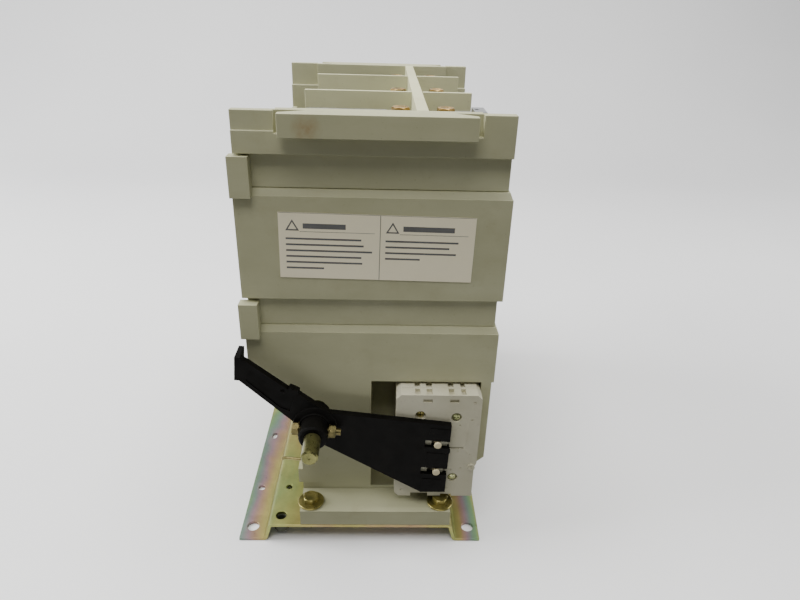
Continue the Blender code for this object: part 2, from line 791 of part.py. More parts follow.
def make_lock_pin():
    start, end = lock_pin_ends()
    inside = start + (end - start).normalized() * 0.8
    add_part("lock_pin", "zinc", rod_between(inside, end, 1.2, 10), at=AXIS_POINT, parent=SHAFT_AXIS)


def make_bushes():
    front = (FACE + BUSH_INSET + GAP, CAVITY_FRONT + 4.0)
    for name, y in (("front_bush", front), ("rear_bush", mirrored(front))):
        body = rod((SHAFT_X, SHAFT_Z), BUSH_R, "Y", y[0], y[1], 32)
        bore = rod((SHAFT_X, SHAFT_Z), SHAFT_R + GAP, "Y", y[0] - 5, y[1] + 5, 32)
        add_part(name, "bronze", body, cuts=[[bore]], at=AXIS_POINT)


def make_rocker():
    """The insulating beam on the shaft: three forked arms, two spring lugs and the armature's carrier."""
    y = (22.0, RIM_LENGTH - 22.0)
    body = rod((SHAFT_X, SHAFT_Z), HUB_R, "Y", y[0], y[1], 24)
    arm = [
        (SHAFT_X - 2, SHAFT_Z - 11),
        (UNIT_X - 24, ARM_SEAT[0] - 4),
        (UNIT_X - 12, ARM_SEAT[0]),
        (UNIT_X + 14, ARM_SEAT[0]),
        (UNIT_X + 14, ARM_SEAT[1]),
        (UNIT_X - 14, ARM_SEAT[1]),
        (SHAFT_X - 2, SHAFT_Z + 13),
    ]
    lug = [
        (SHAFT_X, SHAFT_Z - 8),
        (SPRING_LUG_X + 12, SPRING_LUG_Z - 10),
        (SPRING_LUG_X + 12, SPRING_LUG_Z),
        (SPRING_LUG_X - 12, SPRING_LUG_Z),
        (SHAFT_X, SHAFT_Z + 13),
    ]
    carrier_x = (SHAFT_X - 9.5, ARMATURE_X[0] - GAP)
    carrier = box(carrier_x, (LEG_Y[0] - 12, LEG_Y[1] + 12), (48.0, SHAFT_Z - 2))
    arms = [prism(arm, "Y", p - ARM_HALF_WIDTH, p + ARM_HALF_WIDTH) for p in POLES]
    lugs = [prism(lug, "Y", p - 11, p + 11) for p in SPRING_LUG_Y]
    slots = []
    for p in POLES:
        slots.append(box((UNIT_X - 8, UNIT_X + 20), (p - 7.6, p + 7.6), (ARM_SEAT[0] - 20, ARM_SEAT[1] + 5)))
    bore = rod((SHAFT_X, SHAFT_Z), SHAFT_R + GAP, "Y", 0, RIM_LENGTH, 32)
    add_part(
        "rocker",
        "moulding",
        body,
        joined=[arms + lugs + [carrier]],
        cuts=[slots, [bore]],
        at=AXIS_POINT,
        parent=SHAFT_AXIS,
    )


def make_magnet():
    face_y = (LEG_Y[0] - 14, LEG_Y[1] + 14)
    armature = box(ARMATURE_X, face_y, (45.0, 106.0))
    add_part("armature", "steel", armature, at=AXIS_POINT, parent=SHAFT_AXIS)
    back = box(YOKE_BACK, face_y, (FLOOR_TOP + GAP, LEG_Z[1] + 4))
    legs = []
    for number, y in enumerate(LEG_Y, 1):
        leg = (y - LEG_HALF, y + LEG_HALF)
        legs.append(box((YOKE_FACE, YOKE_BACK[0] + 1), leg, LEG_Z))
        winding = box((YOKE_FACE + 7, YOKE_BACK[0] - 6), (y - 22, y + 22), (LEG_Z[0] - 12, LEG_Z[1] + 12))
        hollow_y = (leg[0] - GAP, leg[1] + GAP)
        hollow_z = (LEG_Z[0] - GAP, LEG_Z[1] + GAP)
        hollow = box((YOKE_FACE - 5, YOKE_BACK[0] + 5), hollow_y, hollow_z)
        add_part(f"coil_{number}", "winding", winding, cuts=[[hollow]], at=(0, y, LEG_Z[0]))
    add_part("magnet_yoke", "steel", back, joined=[legs], at=(YOKE_BACK[0], MIDDLE_Y, LEG_Z[0]))


def make_opening_springs():
    z = (SPRING_LUG_Z + GAP, POLE_FLOOR[0] - GAP)
    for number, y in enumerate(SPRING_LUG_Y, 1):
        body = spring_body((SPRING_LUG_X, y), 9.0, z, 6, 1.3)
        add_part(f"opening_spring_{number}", "steel", body, at=(SPRING_LUG_X, y, z[1]))


# External lever


def make_lever():
    web = [
        (-64.0, 61.0),
        (-58.5, 58.0),
        (-24.0, 34.5),
        (-22.5, 37.0),
        (-14.5, 33.5),
        (-14.5, 30.5),
        (10.0, 14.1),
        (93.6, 11.6),
        (117.0, 10.6),
        (121.5, -63.4),
        (99.7, -65.6),
        (9.0, -20.0),
        (-19.1, 2.9),
        (-64.0, 39.5),
    ]
    flag = [(-68.0, 39.5), (-63.5, 39.5), (-63.5, 61.5), (-68.0, 61.5)]
    body = lever_prism(web, LEVER_FRONT, LEVER_BACK)
    blade = lever_prism(flag, LEVER_FRONT, -3.8)
    hub = rod((SHAFT_X, SHAFT_Z), LEVER_BOSS_R, "Y", LEVER_BOSS_FRONT, LEVER_HUB_BACK, 32)
    slots = []
    for v in SLOT_V:
        slot = [(96.5, v - SLOT_HALF), (130, v - SLOT_HALF), (130, v + SLOT_HALF), (96.5, v + SLOT_HALF)]
        slots.append(lever_prism(slot, LEVER_FRONT - 5, LEVER_BACK + 5))
    bore = rod((SHAFT_X, SHAFT_Z), SHAFT_R + GAP, "Y", -60, 10, 32)
    cross = rod_between(lever_point(-25, 0, CLAMP_Y), lever_point(25, 0, CLAMP_Y), 3.4)
    add_part(
        "aux_lever",
        "lever",
        body,
        joined=[[blade], [hub]],
        cuts=[slots, [bore], [cross]],
        at=AXIS_POINT,
        parent=SHAFT_AXIS,
    )


def make_clamp():
    flat = LEVER_BOSS_R + GAP

    def on_axis(u):
        return lever_point(u, 0, CLAMP_Y)

    head = hexagon_between(on_axis(-flat - 6.2), on_axis(-flat), 10)
    shank = rod_between(on_axis(-flat - 1), on_axis(23.0), 3.0)
    add_part("clamp_bolt", "zinc", head, joined=[[shank]], at=AXIS_POINT, parent=SHAFT_AXIS)
    nut = hexagon_between(on_axis(flat), on_axis(flat + 5.6), 10)
    thread = rod_between(on_axis(flat - 5), on_axis(flat + 12), 3.0 + GAP)
    add_part("clamp_nut", "zinc", nut, cuts=[[thread]], at=AXIS_POINT, parent=SHAFT_AXIS)


# Auxiliary switches


def peg_heights():
    """Where the lever's slots cross the upright line of the pegs."""
    angle = math.radians(LEVER_ANGLE)
    reach = PEG_X - SHAFT_X
    heights = []
    for v in SLOT_V:
        u = (reach - v * math.sin(angle)) / math.cos(angle)
        heights.append(SHAFT_Z - u * math.sin(angle) + v * math.cos(angle))
    return heights


SCREWS = ((73.6, 133.5), (73.9, 66.3), (42.1, 135.2))


def make_aux_switches():
    rear_outline = [
        (21.0, 44.0),
        (78.5, 44.0),
        (93.0, 78.0),
        (95.0, 86.0),
        (95.0, 152.5),
        (91.0, 156.5),
        (25.0, 156.5),
        (21.0, 152.5),
    ]
    outline = [
        (21.0, 48.0),
        (25.0, 44.0),
        (93.0, 44.0),
        (93.0, 78.0),
        (95.0, 83.0),
        (95.0, 152.5),
        (91.0, 156.5),
        (25.0, 156.5),
        (21.0, 152.5),
    ]
    upper, lower = peg_heights()
    channel_z = (lower - 8.0, upper + 17.0)
    for number in range(MODULE_COUNT):
        front = MODULE_FRONT + number * MODULE_PITCH
        y = (front, front + MODULE_PITCH - GAP)
        channel = box((PEG_X - 6.0, PEG_X + 6.0), (y[0] - 5, y[1] + 5), channel_z)
        cuts = [channel]
        for x, z in SCREWS:
            cuts.append(rod((x, z), 2.3, "Y", y[0] - 5, y[1] + 5, 12))
        if number == 0:
            for x, z in SCREWS:
                cuts.append(rod((x, z), 4.6, "Y", y[0] - 5, y[0] + 3.0, 16))
        body = prism(rear_outline if number else outline, "Y", *y)
        add_part(f"aux_switch_{number + 1}", "switch", body, cuts=[cuts[:1], cuts[1:]], at=(PEG_X, y[0], 100.0))
    back = MODULE_FRONT + MODULE_COUNT * MODULE_PITCH - 1.0
    slide = box((PEG_X - 5.4, PEG_X + 5.4), (MODULE_FRONT + 2.0, back), (lower - 5.0, upper + 5.0))
    pegs = [rod((PEG_X, z), PEG_R, "Y", LEVER_FRONT - 4.0, MODULE_FRONT + 5.0, 20) for z in (upper, lower)]
    add_part("aux_slide", "peg", slide, joined=[pegs], at=(PEG_X, MODULE_FRONT, lower))
    for number, (x, z) in enumerate(SCREWS, 1):
        head = rod((x, z), 4.0, "Y", MODULE_FRONT + 0.6, MODULE_FRONT + 2.7, 16)
        shank = rod((x, z), 2.0, "Y", MODULE_FRONT + 2.0, back - 1.0, 12)
        add_part(f"aux_screw_{number}", "zinc", head, joined=[[shank]], at=(x, MODULE_FRONT, z))


def layout_centre():
    """The middle of the bounding box's lowest face, in layout millimetres."""
    x = (PLATE_LEFT + BODY_HALF) / 2
    y = (SHAFT_FRONT + RIM_LENGTH + PLATE_OVERHANG) / 2
    return Vector((x, y, 0))


clear_scene()
MATERIALS = make_materials()
ASSEMBLY = add_empty("assembly", -layout_centre())
AXIS_POINT = Vector((SHAFT_X, 0, SHAFT_Z))
SHAFT_AXIS = add_empty("shaft_axis", AXIS_POINT, ASSEMBLY)
SHAFT_AXIS["home"] = AXIS_POINT

make_base_plate()
make_lower_housing()
make_pole_housing()
make_terminal_frame()
make_barriers_and_spine()
make_label()
make_tie_blocks()
make_foot_bolts()
make_pole_units()
make_shaft()
make_lock_pin()
make_bushes()
make_rocker()
make_magnet()
make_opening_springs()
make_lever()
make_clamp()
make_aux_switches()
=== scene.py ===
"""The looks of the three-pole switching unit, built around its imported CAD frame.

Shapes are drawn in layout millimetres: X runs across the front, Y runs back from the front face of the rim
and Z runs up from the underside of the base plate. TO_ROW turns them into the part's own frame, in metres.
"""

import math
import random

import bmesh
import bpy
from mathutils import Matrix, Vector


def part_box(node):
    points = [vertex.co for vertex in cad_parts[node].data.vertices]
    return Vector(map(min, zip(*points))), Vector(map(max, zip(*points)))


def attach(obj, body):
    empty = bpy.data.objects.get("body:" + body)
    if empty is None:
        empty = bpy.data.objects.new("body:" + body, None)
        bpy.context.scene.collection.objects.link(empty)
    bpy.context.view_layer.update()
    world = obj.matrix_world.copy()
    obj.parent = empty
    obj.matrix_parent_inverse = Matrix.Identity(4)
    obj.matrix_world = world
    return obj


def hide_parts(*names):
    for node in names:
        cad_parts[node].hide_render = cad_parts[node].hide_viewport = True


MM = 0.001
LENGTH = 337.0  # front rim face to rear rim face
MIDDLE_Y = LENGTH / 2
POLE_PITCH = 106.0
POLES = (MIDDLE_Y - POLE_PITCH, MIDDLE_Y, MIDDLE_Y + POLE_PITCH)
FOOT_TOP = 36.5
FOOT_BOLT_X = (-56.0, 64.0)
FOOT_BOLT_Y = (-14.5, LENGTH + 14.5)
PRESS_NUT_X = -84.5
PRESS_NUT_Y = (-15.5, LENGTH + 15.5)

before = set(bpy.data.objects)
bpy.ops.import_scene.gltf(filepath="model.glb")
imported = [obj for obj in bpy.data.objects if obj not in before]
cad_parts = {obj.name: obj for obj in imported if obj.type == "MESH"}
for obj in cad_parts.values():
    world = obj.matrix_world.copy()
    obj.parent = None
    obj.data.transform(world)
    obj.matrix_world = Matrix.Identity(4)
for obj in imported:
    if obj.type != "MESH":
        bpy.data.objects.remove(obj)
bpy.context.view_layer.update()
plate_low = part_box("base_plate")[0]
PLATE_LEFT = -123.0
PLATE_FRONT = -27.0
origin = Vector((plate_low.x - PLATE_LEFT * MM, plate_low.y - PLATE_FRONT * MM, plate_low.z))
TO_ROW = Matrix.Translation(origin) @ Matrix.Scale(MM, 4)


# Materials


def srgb(red, green, blue):
    """A linear colour from the usual 0 to 255 numbers."""

    def one(value):
        value /= 255
        return value / 12.92 if value <= 0.04045 else ((value + 0.055) / 1.055) ** 2.4

    return (one(red), one(green), one(blue), 1.0)


class Maker:
    """A material's node tree, with short calls for the nodes that it uses."""

    def __init__(self, name, colour, roughness, metallic=0.0, **sockets):
        self.material = bpy.data.materials.new(name)
        self.material.use_nodes = True
        self.tree = self.material.node_tree
        self.shader = self.tree.nodes["Principled BSDF"]
        self.shader.inputs["Base Color"].default_value = colour
        self.shader.inputs["Roughness"].default_value = roughness
        self.shader.inputs["Metallic"].default_value = metallic
        for socket, value in sockets.items():
            self.shader.inputs[socket.replace("_", " ")].default_value = value
        self.place = self.tree.nodes.new("ShaderNodeTexCoord").outputs["Object"]

    def link(self, source, target):
        self.tree.links.new(source, target)

    def scaled(self, scale, move=(0, 0, 0)):
        node = self.tree.nodes.new("ShaderNodeMapping")
        node.inputs["Scale"].default_value = scale
        node.inputs["Location"].default_value = move
        self.link(self.place, node.inputs["Vector"])
        return node.outputs["Vector"]

    def noise(self, scale, detail=3.0, roughness=0.5, vector=None, distortion=0.0):
        node = self.tree.nodes.new("ShaderNodeTexNoise")
        node.inputs["Scale"].default_value = scale
        node.inputs["Detail"].default_value = detail
        node.inputs["Roughness"].default_value = roughness
        node.inputs["Distortion"].default_value = distortion
        self.link(vector or self.place, node.inputs["Vector"])
        return node.outputs["Fac"]

    def ramp(self, factor, stops):
        """stops are (position, colour); a plain number stands for a grey."""
        node = self.tree.nodes.new("ShaderNodeValToRGB")
        elements = node.color_ramp.elements
        while len(elements) < len(stops):
            elements.new(0.5)
        for element, (position, colour) in zip(elements, stops):
            element.position = position
            element.color = colour if isinstance(colour, tuple) else (colour, colour, colour, 1)
        self.link(factor, node.inputs["Fac"])
        return node.outputs["Color"]

    def math(self, operation, first, second=0.0, clamp=False):
        node = self.tree.nodes.new("ShaderNodeMath")
        node.operation = operation
        node.use_clamp = clamp
        for socket, value in zip(node.inputs, (first, second)):
            if isinstance(value, (int, float)):
                socket.default_value = value
            else:
                self.link(value, socket)
        return node.outputs["Value"]

    def mix(self, factor, first, second, blend="MIX"):
        node = self.tree.nodes.new("ShaderNodeMix")
        node.data_type = "RGBA"
        node.blend_type = blend
        sockets = (node.inputs[0], node.inputs[6], node.inputs[7])
        for socket, value in zip(sockets, (factor, first, second)):
            if isinstance(value, (int, float, tuple)):
                socket.default_value = value
            else:
                self.link(value, socket)
        return node.outputs[2]

    def axis(self, name):
        node = self.tree.nodes.new("ShaderNodeSeparateXYZ")
        self.link(self.place, node.inputs["Vector"])
        return node.outputs[name]

    def near(self, point, radius, softness):
        """1 within radius of a point of the layout, falling to 0 over the softness, both in millimetres."""
        node = self.tree.nodes.new("ShaderNodeVectorMath")
        node.operation = "DISTANCE"
        node.inputs[1].default_value = TO_ROW @ Vector(point)
        self.link(self.place, node.inputs[0])
        span = self.tree.nodes.new("ShaderNodeMapRange")
        span.inputs["From Min"].default_value = (radius + softness) * MM
        span.inputs["From Max"].default_value = radius * MM
        self.link(node.outputs["Value"], span.inputs["Value"])
        return span.outputs["Result"]

    def colour(self, source):
        self.link(source, self.shader.inputs["Base Color"])

    def rough(self, source):
        self.link(source, self.shader.inputs["Roughness"])

    def bump(self, height, strength, distance):
        node = self.tree.nodes.new("ShaderNodeBump")
        node.inputs["Strength"].default_value = strength
        node.inputs["Distance"].default_value = distance * MM
        self.link(height, node.inputs["Height"])
        self.link(node.outputs["Normal"], self.shader.inputs["Normal"])


HEIGHT_SCALE = 2.6  # brings the heights of the housing, in metres, onto a ramp from 0 to 1
# How dark the band on the foot's top face is: dust, and painted shade of the body above.
DUST_AND_SHADE_TONE = 0.64


def housing_material(name, tone=1.0, stained=False):
    """Greenish grey thermoset with a fine moulded grain, faint flow marks, some handling dirt and a band of
    dust and painted shade on the foot's top face.
    """
    m = Maker(name, srgb(176, 174, 140), 0.6, 0.0, Specular_IOR_Level=0.35)

    def toned(red, green, blue):
        return srgb(red * tone, green * tone, blue * tone)

    flow = m.noise(9.0, 5.0, 0.6, m.scaled((1.0, 1.0, 2.4)))
    stops = [(0.3, toned(167, 166, 133)), (0.55, toned(176, 175, 142)), (0.75, toned(183, 183, 151))]
    base = m.ramp(flow, stops)
    grime = m.ramp(m.noise(38.0, 6.0, 0.7), [(0.55, 0.0), (0.8, 1.0)])
    colour = m.mix(m.math("MULTIPLY", grime, 0.25), base, toned(142, 132, 98))
    height = m.math("MULTIPLY", m.axis("Z"), HEIGHT_SCALE)
    # Dust and painted shade, from the body above, on the foot's top face: a narrow dark band at its height;
    # higher up, slightly darker towards the top.
    foot_top_on_ramp = FOOT_TOP * MM * HEIGHT_SCALE
    dust_and_painted_shade = m.ramp(
        height,
        [
            (foot_top_on_ramp - 0.0013, 1.0),
            (foot_top_on_ramp - 0.0009, DUST_AND_SHADE_TONE),
            (foot_top_on_ramp + 0.0016, DUST_AND_SHADE_TONE),
            (foot_top_on_ramp + 0.0042, 1.0),
            (0.8, 0.97),
        ],
    )
    colour = m.mix(1.0, colour, dust_and_painted_shade, "MULTIPLY")
    specks = m.ramp(m.noise(420.0, 2.0, 0.5), [(0.70, 0.0), (0.78, 1.0)])
    colour = m.mix(m.math("MULTIPLY", specks, 0.22), colour, srgb(104, 98, 74))
    if stained:
        spot = m.near((-47.5, -11.0, 377.0), 2.0, 10.0)
        patch = m.math("MULTIPLY", spot, m.ramp(m.noise(160.0, 4.0, 0.6), [(0.35, 0.3), (0.7, 1.0)]))
        colour = m.mix(m.math("MULTIPLY", patch, 0.75), colour, srgb(140, 108, 62))
    m.colour(colour)
    m.rough(m.ramp(m.noise(55.0, 4.0), [(0.3, 0.5), (0.7, 0.68)]))
    m.bump(m.noise(900.0, 3.0, 0.6), 0.25, 0.08)
    return m.material


FILM = [
    (0.00, srgb(134, 156, 100)),
    (0.14, srgb(166, 168, 100)),
    (0.28, srgb(178, 164, 100)),
    (0.40, srgb(172, 142, 112)),
    (0.52, srgb(156, 130, 136)),
    (0.64, srgb(124, 142, 132)),
    (0.76, srgb(122, 156, 110)),
    (0.90, srgb(164, 166, 100)),
]


def chromate_material():
    """Zinc under a yellow chromate film: gold, with green and pink where the film's depth drifts."""
    m = Maker("chromate", srgb(190, 178, 118), 0.36, 0.8)
    drift = m.noise(1.0, 4.0, 0.55, m.scaled((14.0, 5.0, 14.0)), 0.7)
    outward = m.math("SUBTRACT", m.math("ABSOLUTE", m.axis("X")), 0.086)
    outward = m.math("MULTIPLY", m.math("MAXIMUM", outward, 0.0), 20.0)
    drift = m.math("ADD", m.math("MULTIPLY", m.math("SUBTRACT", drift, 0.26), 1.1), outward)
    film = m.ramp(drift, FILM)
    fine = m.ramp(m.noise(60.0, 6.0, 0.7), [(0.3, 0.74), (0.7, 0.96)])
    m.colour(m.mix(1.0, film, fine, "MULTIPLY"))
    m.rough(m.ramp(m.noise(85.0, 5.0, 0.65), [(0.3, 0.26), (0.7, 0.46)]))
    m.bump(m.noise(260.0, 5.0, 0.6), 0.25, 0.06)
    return m.material


def gold_material(name, light, dark, roughness=0.34):
    """Chromated fasteners: deeper gold with olive in the hollows, and patches of painted highlight."""
    m = Maker(name, light, roughness, 0.85)
    patches = m.noise(90.0, 4.0, 0.6)
    # The lightest stop is a painted highlight, lighter than the gold, laid in patches at random.
    painted_highlight = tuple(min(1.0, part * 1.3) for part in light[:3]) + (1.0,)
    m.colour(m.ramp(patches, [(0.34, dark), (0.54, light), (0.74, painted_highlight)]))
    m.rough(m.ramp(m.noise(300.0, 4.0), [(0.3, roughness - 0.08), (0.7, roughness + 0.14)]))
    m.bump(m.noise(700.0, 4.0, 0.6), 0.3, 0.05)
    return m.material


def black_material():
    m = Maker("black_moulding", (0.004, 0.004, 0.004, 1), 0.5, 0.0, Specular_IOR_Level=0.05)
    stops = [(0.35, (0.0028, 0.0026, 0.0022, 1)), (0.7, (0.006, 0.0055, 0.0046, 1))]
    m.colour(m.ramp(m.noise(45.0, 5.0, 0.6), stops))
    m.rough(m.ramp(m.noise(120.0, 5.0), [(0.3, 0.42), (0.7, 0.62)]))
    m.bump(m.noise(800.0, 3.0, 0.6), 0.3, 0.06)
    return m.material


def switch_material():
    m = Maker("switch_moulding", srgb(200, 196, 170), 0.52, 0.0, Specular_IOR_Level=0.35)
    shade = m.noise(22.0, 5.0, 0.6)
    base = m.ramp(shade, [(0.3, srgb(191, 187, 160)), (0.7, srgb(207, 203, 180))])
    grime = m.ramp(m.noise(95.0, 6.0, 0.7), [(0.56, 0.0), (0.76, 1.0)])
    m.colour(m.mix(m.math("MULTIPLY", grime, 0.3), base, srgb(150, 140, 112)))
    m.rough(m.ramp(m.noise(80.0, 4.0), [(0.3, 0.42), (0.7, 0.6)]))
    m.bump(m.noise(900.0, 3.0, 0.5), 0.2, 0.05)
    return m.material


def plain_material(name, colour, roughness, metallic=0.0, grain=400.0, spread=0.12, **sockets):
    """A material with gentle changes of tone, gloss and surface at the grain's scale."""
    m = Maker(name, colour, roughness, metallic, **sockets)
    darker = tuple(c * (1 - spread) for c in colour[:3]) + (1,)
    lighter = tuple(min(1.0, c * (1 + spread)) for c in colour[:3]) + (1,)
    m.colour(m.ramp(m.noise(grain / 8, 5.0, 0.6), [(0.3, darker), (0.7, lighter)]))
    m.rough(m.ramp(m.noise(grain / 4, 4.0), [(0.3, max(0.05, roughness - 0.08)), (0.7, roughness + 0.1)]))
    m.bump(m.noise(grain, 4.0, 0.6), 0.25, 0.05)
    return m.material


def copper_material():
    m = Maker("bare_copper", srgb(196, 132, 96), 0.34, 1.0)
    tarnish = m.noise(40.0, 6.0, 0.65)
    stops = [(0.3, srgb(150, 92, 66)), (0.55, srgb(196, 130, 96)), (0.8, srgb(208, 150, 112))]
    m.colour(m.ramp(tarnish, stops))
    m.rough(m.ramp(m.noise(130.0, 5.0), [(0.3, 0.25), (0.7, 0.5)]))
    m.bump(m.noise(500.0, 4.0), 0.2, 0.05)
    return m.material


HOUSING = housing_material("housing")
HOUSING_STAINED = housing_material("housing_stained", 1.0, True)
# A copy of the housing material, 16 per cent lighter, for the barriers and the spine wall.
HOUSING_LIGHTER = housing_material("housing_lighter", 1.16)
CHROMATE = chromate_material()
SHAFT_GOLD = gold_material("shaft_film", srgb(110, 108, 66), srgb(92, 92, 54), 0.3)
GOLD = gold_material("fastener_gold", srgb(146, 136, 80), srgb(106, 102, 56))
CLAMP_GOLD = gold_material("clamp_gold", srgb(90, 82, 50), srgb(62, 58, 32))
PIN_GOLD = gold_material("pin_gold", srgb(136, 126, 82), srgb(98, 92, 56))
BRONZE = gold_material("terminal_bolt_film", srgb(172, 140, 82), srgb(98, 84, 44))
SCREW = gold_material("screw_film", srgb(170, 172, 128), srgb(112, 116, 76))
BLACK = black_material()
SWITCH = switch_material()
HOLLOW = plain_material("threaded_hollow", srgb(72, 74, 60), 0.55, 0.5)
PEG = plain_material("peg", srgb(214, 202, 164), 0.4)
PAPER = plain_material("sticker_film", srgb(240, 231, 200), 0.42, 0.0, 300.0, 0.03)
INK = plain_material("sticker_bars", srgb(70, 70, 68), 0.5, 0.0, 300.0, 0.1)
TIN = plain_material("tinned_bar", srgb(168, 170, 170), 0.36, 0.9, 300.0, 0.14)
LEAF = plain_material("slot_leaf", srgb(128, 126, 108), 0.36, 0.3, 260.0, 0.3)
CERAMIC = plain_material("ceramic", srgb(222, 216, 204), 0.22, 0.0, 200.0, 0.05)
COPPER = copper_material()
STEEL = plain_material("spring_steel", srgb(150, 150, 152), 0.3, 1.0, 500.0, 0.15)
CORE = plain_material("magnet_steel", srgb(104, 104, 106), 0.42, 0.9, 300.0, 0.2)
SINTER = plain_material("bush_bronze", srgb(160, 124, 76), 0.45, 0.9, 600.0, 0.2)
BROWN = plain_material("rocker_moulding", srgb(78, 58, 44), 0.55, 0.0, 500.0, 0.2)
TAPE = plain_material("coil_tape", srgb(128, 62, 36), 0.5, 0.0, 350.0, 0.2)


# Shapes, as bmesh bodies in layout millimetres


def prism(outline, axis, low, high):
    """A closed body: the outline, drawn in the two other axes in X, Y, Z order, run from low to high."""
    body = bmesh.new()
    place = {
        "X": lambda a, b, c: (c, a, b),
        "Y": lambda a, b, c: (a, c, b),
        "Z": lambda a, b, c: (a, b, c),
    }[axis]
    rings = [[body.verts.new(place(a, b, level)) for a, b in outline] for level in (low, high)]
    body.faces.new(rings[0])
    body.faces.new(rings[1])
    count = len(outline)
    for i in range(count):
        j = (i + 1) % count
        body.faces.new((rings[0][i], rings[0][j], rings[1][j], rings[1][i]))
    bmesh.ops.recalc_face_normals(body, faces=body.faces)
    return body


def box(x, y, z):
    return prism([(x[0], y[0]), (x[1], y[0]), (x[1], y[1]), (x[0], y[1])], "Z", z[0], z[1])


def circle(centre, radius, sides, turn=0.0, sweep=2 * math.pi):
    step = sweep / sides
    return [
        (
            centre[0] + radius * math.cos(turn + i * step),
            centre[1] + radius * math.sin(turn + i * step),
        )
        for i in range(sides)
    ]


def rod(centre, radius, axis, low, high, sides=32, turn=0.0):
    return prism(circle(centre, radius, sides, turn), axis, low, high)


def lathe(profile, sides=40):
    """A body turned about the Z axis at the origin. The profile runs (radius, height) from bottom to top."""
    body = bmesh.new()
    rings = []
    for radius, height in profile:
        rings.append([body.verts.new((x, y, height)) for x, y in circle((0, 0), radius, sides)])
    for lower, upper in zip(rings, rings[1:]):
        for i in range(sides):
            j = (i + 1) % sides
            body.faces.new((lower[i], lower[j], upper[j], upper[i]))
    body.faces.new(rings[0])
    body.faces.new(rings[-1])
    bmesh.ops.recalc_face_normals(body, faces=body.faces)
    return body


def hex_head(across_flats, low, high, chamfer=0.8):
    """A hexagon head on the Z axis whose upper corners are turned off, as on a real bolt."""
    body = rod((0, 0), across_flats / math.sqrt(3), "Z", low, high, 6, math.pi / 6)
    corner = across_flats / math.sqrt(3)
    keeper = lathe(
        [
            (corner + 1, low - 1),
            (corner + 1, high - chamfer * 1.1),
            (corner, high - chamfer),
            (across_flats / 2 - 0.1, high + 0.01),
        ],
        36,
    )
    return body, keeper


def aimed(start, end):
    """The matrix that takes the Z axis to the line from start to end."""
    span = Vector(end) - Vector(start)
    return Matrix.Translation(start) @ span.to_track_quat("Z", "Y").to_matrix().to_4x4()


def rounded(points, radius, steps=6):
    """A polyline's inner corners replaced by arcs."""
    out = [Vector(points[0])]
    for before, corner, after in zip(points, points[1:], points[2:]):
        corner = Vector(corner)
        back = (Vector(before) - corner).normalized()
        ahead = (Vector(after) - corner).normalized()
        half = back.angle(ahead) / 2
        reach = radius / math.tan(half)
        centre = corner + (back + ahead).normalized() * (radius / math.sin(half))
        first = corner + back * reach - centre
        last = corner + ahead * reach - centre
        turn = first.angle_signed(last)
        for i in range(steps + 1):
            spoke = first.copy()
            spoke.rotate(Matrix.Rotation(-turn * i / steps, 2))
            out.append(centre + spoke)
    out.append(Vector(points[-1]))
    return out


def ribbon(path, thickness):
    """The outline of a strip of even thickness along a polyline."""
    left = []
    right = []
    for i, point in enumerate(path):
        before = path[max(i - 1, 0)]
        after = path[min(i + 1, len(path) - 1)]
        along = (after - before).normalized()
        side = Vector((-along.y, along.x)) * thickness / 2
        left.append(tuple(point + side))
        right.append(tuple(point - side))
    return left + right[::-1]


# Pieces


def merge(bodies):
    whole = bmesh.new()
    for body in bodies:
        mesh = bpy.data.meshes.new("piece")
        body.to_mesh(mesh)
        body.free()
        whole.from_mesh(mesh)
        bpy.data.meshes.remove(mesh)
    return whole


def make_object(name, body, material, place=None):
    if place is not None:
        body.transform(place)
    body.transform(TO_ROW)
    mesh = bpy.data.meshes.new(name)
    body.to_mesh(mesh)
    body.free()
    mesh.materials.append(material)
    obj = bpy.data.objects.new(name, mesh)
    bpy.context.scene.collection.objects.link(obj)
    return obj


def apply_modifiers(obj):
    """The object's evaluated mesh takes the place of its own, and its modifiers go."""
    graph = bpy.context.evaluated_depsgraph_get()
    graph.update()
    mesh = bpy.data.meshes.new_from_object(obj.evaluated_get(graph), depsgraph=graph)
    obj.modifiers.clear()
    obj.data = mesh


def combine(obj, operation, bodies, place=None):
    """A Boolean with each body in turn, applied at once."""
    for body in bodies:
        helper = make_object("helper", body, obj.data.materials[0], place)
        modifier = obj.modifiers.new("boolean", "BOOLEAN")
        modifier.operation = operation
        modifier.solver = "EXACT"
        modifier.object = helper
        apply_modifiers(obj)
        bpy.data.objects.remove(helper, do_unlink=True)


def tidy_flats(obj):
    """Coplanar triangles joined back into flat faces, so that edges bevel cleanly."""
    body = bmesh.new()
    body.from_mesh(obj.data)
    bmesh.ops.remove_doubles(body, verts=body.verts, dist=2e-6)
    bmesh.ops.dissolve_limit(body, angle_limit=math.radians(1.0), verts=body.verts, edges=body.edges)
    body.to_mesh(obj.data)
    body.free()


def soften(obj, width, segments=2, angle=28.0):
    """Rounded edges with shading that stays flat on the flat faces."""
    bevel = obj.modifiers.new("bevel", "BEVEL")
    bevel.width = width * MM
    bevel.segments = segments
    bevel.limit_method = "ANGLE"
    bevel.angle_limit = math.radians(angle)
    bevel.harden_normals = False
    bevel.use_clamp_overlap = True
    obj.data.shade_smooth()
    weighted = obj.modifiers.new("weighted", "WEIGHTED_NORMAL")
    weighted.keep_sharp = True
    weighted.weight = 80
    obj.data.set_sharp_from_angle(angle=math.radians(50))


def add_piece(name, body, material, rides, replaces=(), place=None, cuts=(), joins=(), bevel=0.0):
    obj = make_object(name, body, material, place)
    if joins:
        combine(obj, "UNION", joins, place)
    if cuts:
        combine(obj, "DIFFERENCE", cuts, place)
    tidy_flats(obj)
    if bevel:
        soften(obj, bevel)
    else:
        obj.data.shade_smooth()
        obj.data.set_sharp_from_angle(angle=math.radians(35))
    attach(obj, rides)
    if replaces:
        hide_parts(*replaces)
    return obj


